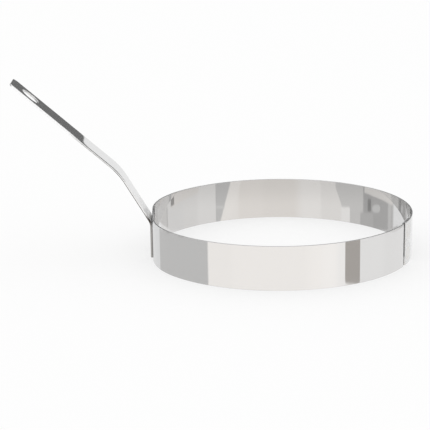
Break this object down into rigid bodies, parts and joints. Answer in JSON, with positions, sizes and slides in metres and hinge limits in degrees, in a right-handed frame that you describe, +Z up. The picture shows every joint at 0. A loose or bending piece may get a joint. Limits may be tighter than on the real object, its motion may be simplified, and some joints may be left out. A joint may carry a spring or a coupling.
{
  "type": "egg ring",
  "caption": "Round open band of polished steel strip with a lapped seam and a bent strip handle with a hanging hole, for frying an egg in a round shape.",
  "frame": {"origin": "middle of the whole outline seen from above, on the surface that the band stands on", "axes": "+X along the handle's line from its end towards the band, +Y across the handle, +Z up"},
  "size_m": [0.2284, 0.154, 0.1034],
  "materials": {
    "band_steel": "mirror-polished stainless strip",
    "handle_steel": "polished stainless strip",
    "weld_metal": "fused spot-weld metal, hidden between the sheets"
  },
  "bodies": {
    "root": {"ring_band": "band_steel", "handle_strip": "handle_steel", "handle_weld_lower": "weld_metal", "handle_weld_upper": "weld_metal", "seam_weld_lower": "weld_metal", "seam_weld_upper": "weld_metal"}
  },
  "joints": []
}
